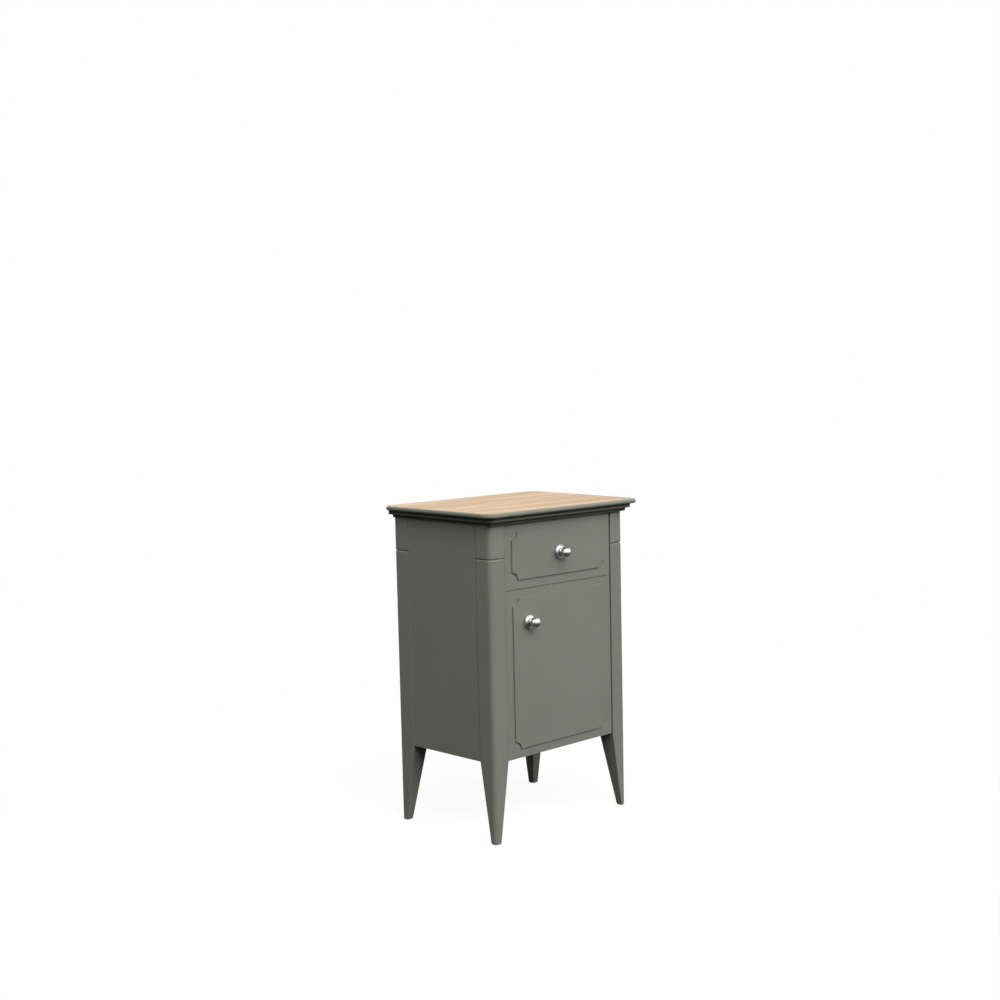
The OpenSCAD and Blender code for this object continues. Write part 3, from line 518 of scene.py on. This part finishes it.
def paint_material(axis, settings, painted_shade=False):
    """Satin paint whose brush strokes run along the named axis. With painted shade switched on,
    ambient occlusion darkens the colour and weakens the reflection in hollows and under
    overhangs: painted shade."""
    name = f"paint_{axis.lower()}_sheltered" if painted_shade else f"paint_{axis.lower()}"
    if name in bpy.data.materials:
        return bpy.data.materials[name]
    made, g, shader = new_material(name)
    place = g.add("ShaderNodeTexCoord", output=3)
    vector = g.stretch(place, (1, 1, 1), PAINT_START, ALONG[axis])
    film = effect(g, "paint_film", paint_film, {"Vector": vector, "Stroke": 0.7})
    tree = made.node_tree
    tint = g.blend(film["Tint"], opaque(settings.base), opaque(settings.worn))
    if painted_shade:
        open_air = g.add("ShaderNodeAmbientOcclusion", {"Distance": settings.reach}, output=1,
                         samples=8)
        # Painted shade: nought where half of the view is closed in or more, one in the open
        unshaded = g.ramp(open_air, 0.5, 1.0)
        # Painted shade: in hollows the colour goes toward a small share of the paint and the
        # reflection weakens
        tint = g.blend(unshaded, opaque([c * settings.hollow_shade_tone for c in settings.base]), tint)
        tree.links.new(g.math("MULTIPLY", unshaded, settings.gleam),
                       shader.inputs["Specular IOR Level"])
    else:
        shader.inputs["Specular IOR Level"].default_value = settings.gleam
    tree.links.new(tint, shader.inputs["Base Color"])
    tree.links.new(g.math("ADD", film["Gloss"], settings.gloss), shader.inputs["Roughness"])
    tree.links.new(g.bump(film["Height"], 0.02 * MM, 0.5), shader.inputs["Normal"])
    return made


def wood_material(name, axis, settings, figure, pore, seed):
    """Wood whose grain runs along the named axis."""
    made, g, shader = new_material(name)
    place = g.add("ShaderNodeTexCoord", output=3)
    vector = g.stretch(place, (1, 1, 1), (seed, seed * 1.7, seed * 0.3), ALONG[axis])
    grain = effect(g, "wood_grain", wood_grain,
                   {"Vector": vector, "Figure": figure, "Pore size": pore})
    wood = g.blend(grain["Deep"], opaque(settings.pale), opaque(settings.deep))
    tree = made.node_tree
    tree.links.new(g.blend(grain["Pores"], wood, opaque(settings.pore)),
                   shader.inputs["Base Color"])
    tree.links.new(g.math("ADD", grain["Gloss"], settings.gloss), shader.inputs["Roughness"])
    soft = g.add("ShaderNodeBevel", {"Radius": 0.4 * MM}, samples=4)
    tree.links.new(g.bump(grain["Height"], 0.06 * MM, 0.6, soft), shader.inputs["Normal"])
    shader.inputs["Specular IOR Level"].default_value = 0.3
    return made


def metal_material(name, base, gloss, line, dark=0.86):
    """Plated metal with fine hair lines."""
    made, g, shader = new_material(name)
    place = g.add("ShaderNodeTexCoord", output=3)
    film = effect(g, "metal_film", metal_film,
                  {"Vector": g.stretch(place, (1, 1, 1), METAL_START), "Line": line})
    tree = made.node_tree
    tree.links.new(g.blend(film["Shade"], opaque([c * dark for c in base]), opaque(base)),
                   shader.inputs["Base Color"])
    tree.links.new(g.math("ADD", film["Gloss"], gloss), shader.inputs["Roughness"])
    soft = g.add("ShaderNodeBevel", {"Radius": 0.2 * MM}, samples=4)
    tree.links.new(g.bump(film["Height"], 0.004 * MM, 0.4, soft), shader.inputs["Normal"])
    shader.inputs["Metallic"].default_value = 1.0
    return made


def plastic_material(name, base):
    """Moulded plastic with a fine spark texture."""
    made, g, shader = new_material(name)
    place = g.add("ShaderNodeTexCoord", output=3)
    slow = g.noise(place, 60.0, 2.0)
    spark = g.noise(place, 2600.0, 2.0)
    tree = made.node_tree
    tree.links.new(g.blend(slow, opaque(base), opaque([c * 0.93 for c in base])),
                   shader.inputs["Base Color"])
    tree.links.new(g.spread(spark, 0.42, 0.54), shader.inputs["Roughness"])
    soft = g.add("ShaderNodeBevel", {"Radius": 0.4 * MM}, samples=4)
    tree.links.new(g.bump(spark, 0.03 * MM, 0.5, soft), shader.inputs["Normal"])
    return made


# ---------------------------------------------------------------- operators

class MakeTop(bpy.types.Operator):
    """Makes the painted top board with its half-round edge, and the oak veneer let into it."""
    bl_idname = "cupboard.make_top"
    bl_label = "Top board and veneer"

    def execute(self, context):
        sizes, paint, oak = (context.scene.cupboard_top, context.scene.cupboard_paint,
                             context.scene.cupboard_oak)
        low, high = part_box("top_board")
        half = (high.z - low.z) / 2
        sheet_low, sheet_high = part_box("top_veneer")
        inset = sheet_low.x - low.x
        rebate = high.z - sizes.veneer
        border = 4 * MM
        rim = arc((half, low.z + half), half, 270, 90, 24)
        profile = np.vstack([[[inset + border, low.z]], rim,
                             [[half + sizes.lip * 0.6, high.z],
                              [half + sizes.lip, high.z - 0.05 * MM],
                              [inset, rebate], [inset + border, rebate]]])
        board = plate("top_board_painted", low, high, sizes.corner, profile)
        # The top board's paint gets painted shade in its hollows and under its edge
        stand_for(board, "root", "painted_wood", paint_material("X", paint, painted_shade=True),
                  "top_board")
        ease = 0.15 * MM
        top = sheet_high.z
        sheet = plate("top_veneer_sheet", sheet_low, sheet_high, sizes.corner - inset,
                      [[border, rebate], [0, rebate], [0, top - ease],
                       [ease * 0.3, top - ease * 0.3], [ease, top], [border, top]])
        stand_for(sheet, "root", "oak_veneer",
                  wood_material("oak_top", "X", oak, 1.0, 0.55, 0.37), "top_veneer")
        return {"FINISHED"}


class MakeCornice(bpy.types.Operator):
    """Makes the three lengths of cornice moulding, mitred at the front corners."""
    bl_idname = "cupboard.make_cornice"
    bl_label = "Cornice"

    def execute(self, context):
        sizes, paint = context.scene.cupboard_cornice, context.scene.cupboard_paint
        low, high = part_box("cornice_front")
        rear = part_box("cornice_left")[1].y
        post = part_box("post_front_left")[0]
        reach = post.x - low.x
        height = high.z - low.z
        cove_top = -sizes.fillet - sizes.fillet_round
        ease = 0.3 * MM
        section = np.vstack([
            [[0, 0], [reach - ease, 0], [reach, -ease]],
            arc((reach - sizes.fillet_round, -sizes.fillet), sizes.fillet_round, 0, -90, 8),
            arc((sizes.lip + sizes.cove, cove_top - sizes.cove), sizes.cove, 90, 180, 12),
            [[sizes.lip, ease - height], [sizes.lip - ease, -height], [0, -height]]])
        out, level = section.T
        level = level + high.z
        centre_x, centre_y = high.x - sizes.corner, low.y + sizes.corner
        # The four halves of the two front corners, from the left side round to the right
        left, first, last, right = (np.radians(np.linspace(start, start + 45, 13))
                                    for start in (180, 225, 270, 315))

        def path(parts):
            centres = np.vstack([np.broadcast_to(c, (len(a), 2)) for c, a in parts])
            angles = np.concatenate([a for _, a in parts])
            return centres, np.stack([np.cos(angles), np.sin(angles)], -1)

        at_left, at_right = (-centre_x, centre_y), (centre_x, centre_y)
        runs = {
            "cornice_left": [((-centre_x, rear), left[:1]), (at_left, left)],
            "cornice_front": [(at_left, first), (at_right, last)],
            "cornice_right": [(at_right, right), ((centre_x, rear), right[-1:])],
        }
        least = 0.2 * MM
        for node, parts in runs.items():
            centre, direction = path(parts)
            # The radius at a place on the section is the corner's less what lies outside it.
            # A place inside the corner's centre keeps the least radius, and its centre moves
            radius = sizes.corner - reach + out
            kept = np.maximum(radius, least)
            back = (radius - kept)[None, :, None]
            corner_way = np.sign(direction) * (np.abs(direction) > 1e-6)
            points = carried(centre, direction, kept, level)
            points[:, :, :2] += corner_way[:, None, :] * back
            rows, columns = points.shape[:2]
            faces = grid_faces(rows, columns, wrap_columns=True)
            faces.append(np.arange(columns)[::-1].tolist())
            faces.append((np.arange(columns) + (rows - 1) * columns).tolist())
            run = outward(make_object(f"{node}_run", points, faces, 30.0))
            axis = "X" if node == "cornice_front" else "Y"
            # The cornice's paint gets painted shade in its cove and under the top board
            stand_for(run, "root", "painted_wood",
                      paint_material(axis, paint, painted_shade=True), node)
        return {"FINISHED"}


class MakeCarcass(bpy.types.Operator):
    """Makes the posts and side panels with eased edges and paints the rail over the drawer."""
    bl_idname = "cupboard.make_carcass"
    bl_label = "Posts and side panels"

    def execute(self, context):
        paint = context.scene.cupboard_paint
        material = paint_material("Z", paint)
        for nodes, ease in ((POSTS, paint.ease), (SIDES, paint.fine_ease)):
            for node in nodes:
                stand_for(eased_copy(node, ease), "root", "painted_wood", material, node)
        dress(["top_rail_front"], paint_material("X", paint))
        return {"FINISHED"}


class MakeFronts(bpy.types.Operator):
    """Makes the drawer front and the door with eased edges round their raised fields."""
    bl_idname = "cupboard.make_fronts"
    bl_label = "Drawer front and door"

    def execute(self, context):
        paint = context.scene.cupboard_paint
        for node, body in FRONTS.items():
            axis = "X" if node == "drawer_front" else "Z"
            stand_for(eased_copy(node, paint.fine_ease), body, "painted_wood",
                      paint_material(axis, paint), node)
        return {"FINISHED"}


class MakeKnobs(bpy.types.Operator):
    """Makes both knobs and their backplates as turned metal."""
    bl_idname = "cupboard.make_knobs"
    bl_label = "Knobs"

    def execute(self, context):
        s = context.scene.cupboard_knobs
        metal = metal_material("nickel", s.metal, s.gloss, 0.4, 0.93)
        for node, body in KNOBS.items():
            low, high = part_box(node)
            plate_low, plate_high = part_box(f"{node}_rose")
            ball = (high.x - low.x) / 2
            at = ((low.x + high.x) / 2, plate_high.y, (low.z + high.z) / 2)
            tip = at[1] - low.y
            outer = (plate_high.x - plate_low.x) / 2
            depth = plate_high.y - plate_low.y
            neck_end = depth + s.neck_length
            middle = tip - ball
            start = math.degrees(math.acos(s.neck / ball))
            flare_turn = np.radians(np.linspace(90, 0, 9))
            flare = np.stack([s.neck + s.flare * (1 - np.cos(flare_turn)),
                              neck_end - s.neck_length * np.sin(flare_turn)], -1)
            globe = arc((0, middle), ball, -start, 90, 40)
            globe[-1, 0] = 0.0
            profile = np.vstack([[[0, s.bore_depth], [s.bore, s.bore_depth], [s.bore, 0],
                                  [s.neck, 0], [s.neck, depth]], flare[:-1], globe])
            knob = turned(f"{node}_ball", profile, at)
            stand_for(knob, body, "satin_nickel", metal, node)
            hole = s.neck + 0.05 * MM
            ease = 0.1 * MM
            dome = outer - s.land
            dome_base = s.rim - s.step
            crown = s.neck + s.flare
            swell = np.radians(np.linspace(0, 90, 17))
            flare_out = np.radians(np.linspace(0, 90, 13))
            ring = np.vstack([
                [[hole, 0]],
                np.stack([s.foot + (outer - s.foot) * (1 - np.cos(flare_out)),
                          (s.rim - s.edge) * np.sin(flare_out)], -1),
                arc((outer - s.rim_round, s.rim - s.rim_round), s.rim_round, 0, 90, 8),
                [[dome + ease, s.rim], [dome, s.rim - ease]],
                np.stack([crown + (dome - crown) * np.cos(swell),
                          dome_base + (depth - dome_base) * np.sin(swell)], -1),
                [[hole, depth]]])
            rose = turned(f"{node}_backplate", ring, at, closed=True)
            stand_for(rose, body, "satin_nickel", metal, f"{node}_rose")
        return {"FINISHED"}


class FinishBareWood(bpy.types.Operator):
    """Gives the unpainted wooden pieces inside their birch, with the grain along each."""
    bl_idname = "cupboard.finish_bare_wood"
    bl_label = "Bare wood inside"

    def execute(self, context):
        birch = context.scene.cupboard_bare_wood
        for axis, nodes in {"X": GRAIN_X, "Y": GRAIN_Y, "Z": GRAIN_Z}.items():
            dress(nodes, wood_material(f"birch_{axis.lower()}", axis, birch, 0.8, 0.3, 0.9))
        return {"FINISHED"}


class FinishFittings(bpy.types.Operator):
    """Gives the hinges, screws and catch their plating and plastic."""
    bl_idname = "cupboard.finish_fittings"
    bl_label = "Hinges, screws and catch"

    def execute(self, context):
        s = context.scene.cupboard_fittings
        dress(FITTINGS, metal_material("zinc_fittings", s.zinc, s.zinc_gloss, 1.0))
        dress(SCREWS, metal_material("zinc_screws", s.zinc, s.zinc_gloss + 0.06, 0.5, 0.75))
        dress(["catch_body"], plastic_material("catch_plastic", s.plastic))
        return {"FINISHED"}


# Softboxes: name, degrees round from the front to the right, degrees up, share of full light
SOFTBOXES = [("softbox_front_left", -18, 42, 0.78), ("softbox_front_right", 30, 27, 0.50),
             ("softbox_left", -82, 42, 0.35), ("softbox_right", 95, 25, 0.26),
             ("softbox_rear", 165, 25, 0.25)]
LIGHT_AIM = Vector((0, 0, 0.35))  # the middle of the cupboard

# The photograph's camera, fitted to the cupboard's edges: its place, the turn to the right, the
# tilt down and the lean in radians, and the shift of its picture in shares of the width
EYE_PLACE = (-2.34783, -2.50309, 1.01443)
YAW, PITCH, ROLL = 0.841329, 0.112385, -0.011671
EYE_SHIFT = (-0.1505, 0.0325)


class MakeStage(bpy.types.Operator):
    """Makes the pale floor, the even sky, the softboxes, the dark flag and the camera."""
    bl_idname = "cupboard.make_stage"
    bl_label = "Stage"

    def execute(self, context):
        s = context.scene.cupboard_stage
        self.floor(s)
        self.sky(context, s)
        for box in SOFTBOXES:
            self.softbox(context, s, *box)
        self.flag(s)
        self.camera(context, s)
        context.scene.view_settings.view_transform = "Standard"
        return {"FINISHED"}

    @staticmethod
    def seen(g):
        """One for rays from the camera, from a reflection or through glass, otherwise nought."""
        path = g.tree.nodes.new("ShaderNodeLightPath").outputs
        either = g.math("ADD", path["Is Camera Ray"], path["Is Glossy Ray"], clamp=True)
        return g.math("ADD", either, path["Is Transmission Ray"], clamp=True)

    def floor(self, s):
        half = s.floor / 2
        sheet = make_object("floor", [[-half, -half, 0], [half, -half, 0], [half, half, 0],
                                      [-half, half, 0]], [(0, 1, 2, 3)])
        made, g, shader = new_material("pale_floor")
        tree = made.node_tree
        tree.nodes.remove(shader)
        place = g.add("ShaderNodeTexCoord", output=3)
        away = g.add("ShaderNodeVectorMath", {0: place}, output=1, operation="LENGTH")
        near = g.ramp(away, s.shadow_full, s.shadow_end, 1.0, 0.0)
        grey = g.ramp(near, 0.0, 1.0, 0.0, s.shadow_tone)
        glow = g.ramp(near, 0.0, 1.0, 1.0, s.shadow_glow)
        lit = g.add("ShaderNodeBsdfDiffuse", {"Color": g.add(
            "ShaderNodeCombineColor", {0: grey, 1: grey, 2: grey})})
        pale = g.add("ShaderNodeAddShader", {0: lit, 1: g.add(
            "ShaderNodeEmission", {"Color": (1, 1, 1, 1), "Strength": glow})})
        dull = g.add("ShaderNodeBsdfDiffuse", {"Color": opaque([s.bounce] * 3)})
        upper = g.add("ShaderNodeMixShader", {0: self.seen(g), 1: dull, 2: pale})
        under = tree.nodes.new("ShaderNodeNewGeometry").outputs["Backfacing"]
        clear = g.add("ShaderNodeBsdfTransparent")
        whole = g.add("ShaderNodeMixShader", {0: under, 1: upper, 2: clear})
        tree.links.new(whole, tree.nodes["Material Output"].inputs["Surface"])
        sheet.data.materials.append(made)

    def sky(self, context, s):
        world = bpy.data.worlds.new("studio")
        context.scene.world = world
        world.use_nodes = True
        g = Graph(world.node_tree)
        ray = g.add("ShaderNodeTexCoord", output=0)
        rise = g.add("ShaderNodeSeparateXYZ", {0: ray}, output=2)
        light = g.ramp(rise, 0.05, 0.6, s.ground, s.sky)
        strength = g.add("ShaderNodeMix", {0: self.seen(g), 2: light, 3: 1.0}, data_type="FLOAT")
        background = world.node_tree.nodes["Background"]
        background.inputs["Color"].default_value = (1, 1, 1, 1)
        world.node_tree.links.new(strength, background.inputs["Strength"])

    def softbox(self, context, s, name, turn, rise, share_of_light):
        """One softbox, turned from the front towards the right and raised by degrees. A white
        surface that faces it renders at its share of white: the watts are the share times the
        square of pi times the distance."""
        lamp = bpy.data.lights.new(name, "AREA")
        lamp.shape = "RECTANGLE"
        lamp.size, lamp.size_y = s.box_width, s.box_height
        lamp.energy = share_of_light * s.level * (math.pi * s.box_reach) ** 2
        box = bpy.data.objects.new(name, lamp)
        context.scene.collection.objects.link(box)
        turn, rise = math.radians(turn), math.radians(rise)
        towards = Vector((math.sin(turn) * math.cos(rise), -math.cos(turn) * math.cos(rise),
                          math.sin(rise)))
        box.location = LIGHT_AIM + towards * s.box_reach
        box.rotation_mode = "QUATERNION"
        box.rotation_quaternion = (-towards).to_track_quat("-Z", "Y")

    def flag(self, s):
        """A dark card on the floor, which only reflections see, as a studio flag does."""
        half, lift = s.flag / 2, s.flag_lift
        card = make_object("dark_flag", [[-half, -half, lift], [half, -half, lift],
                                         [half, half, lift], [-half, half, lift]],
                           [(0, 1, 2, 3)])
        made, _, shader = new_material("dark_flag")
        shader.inputs["Base Color"].default_value = opaque([s.flag_tone] * 3)
        shader.inputs["Roughness"].default_value = 0.9
        card.data.materials.append(made)
        card.visible_camera = card.visible_diffuse = card.visible_shadow = False
        card.visible_transmission = False

    def camera(self, context, s):
        lens = bpy.data.cameras.new("camera")
        lens.sensor_width = 36.0
        lens.lens = s.lens
        lens.shift_x, lens.shift_y = EYE_SHIFT
        ahead = Vector((math.sin(YAW) * math.cos(PITCH), math.cos(YAW) * math.cos(PITCH),
                        -math.sin(PITCH)))
        right = Vector((math.cos(YAW), -math.sin(YAW), 0))
        up = right.cross(ahead)
        right, up = (right * math.cos(ROLL) + up * math.sin(ROLL),
                     up * math.cos(ROLL) - right * math.sin(ROLL))
        eye = bpy.data.objects.new("camera", lens)
        context.scene.collection.objects.link(eye)
        turn = Matrix((right, up, -ahead)).transposed()
        eye.matrix_world = Matrix.Translation(EYE_PLACE) @ turn.to_4x4()
        context.scene.camera = eye


class CupboardPanel(bpy.types.Panel):
    """Lists the cupboard's pieces in the sidebar of the 3D view."""
    bl_idname = "CUPBOARD_PT_pieces"
    bl_label = "Bedside cupboard"
    bl_space_type = "VIEW_3D"
    bl_region_type = "UI"
    bl_category = "Cupboard"

    def draw(self, context):
        for operator in OPERATORS:
            self.layout.operator(operator.bl_idname)
        for attribute, group in SETTINGS.items():
            box = self.layout.box()
            for name in group.__annotations__:
                box.prop(getattr(context.scene, attribute), name)


SETTINGS = {
    "cupboard_top": TopSettings,
    "cupboard_cornice": CorniceSettings,
    "cupboard_paint": PaintSettings,
    "cupboard_oak": OakSettings,
    "cupboard_bare_wood": BareWoodSettings,
    "cupboard_knobs": KnobSettings,
    "cupboard_fittings": FittingSettings,
    "cupboard_stage": StageSettings,
}
OPERATORS = [MakeTop, MakeCornice, MakeCarcass, MakeFronts, MakeKnobs, FinishBareWood,
             FinishFittings, MakeStage]


def register():
    for group in SETTINGS.values():
        bpy.utils.register_class(group)
    for attribute, group in SETTINGS.items():
        setattr(bpy.types.Scene, attribute, PointerProperty(type=group))
    for operator in OPERATORS:
        bpy.utils.register_class(operator)
    bpy.utils.register_class(CupboardPanel)


def unregister():
    bpy.utils.unregister_class(CupboardPanel)
    for operator in reversed(OPERATORS):
        bpy.utils.unregister_class(operator)
    for attribute, group in SETTINGS.items():
        delattr(bpy.types.Scene, attribute)
        bpy.utils.unregister_class(group)


def main():
    register()
    bpy.ops.cupboard.make_top()
    bpy.ops.cupboard.make_cornice()
    bpy.ops.cupboard.make_carcass()
    bpy.ops.cupboard.make_fronts()
    bpy.ops.cupboard.make_knobs()
    bpy.ops.cupboard.finish_bare_wood()
    bpy.ops.cupboard.finish_fittings()
    bpy.ops.cupboard.make_stage()


if __name__ == "__main__":
    main()
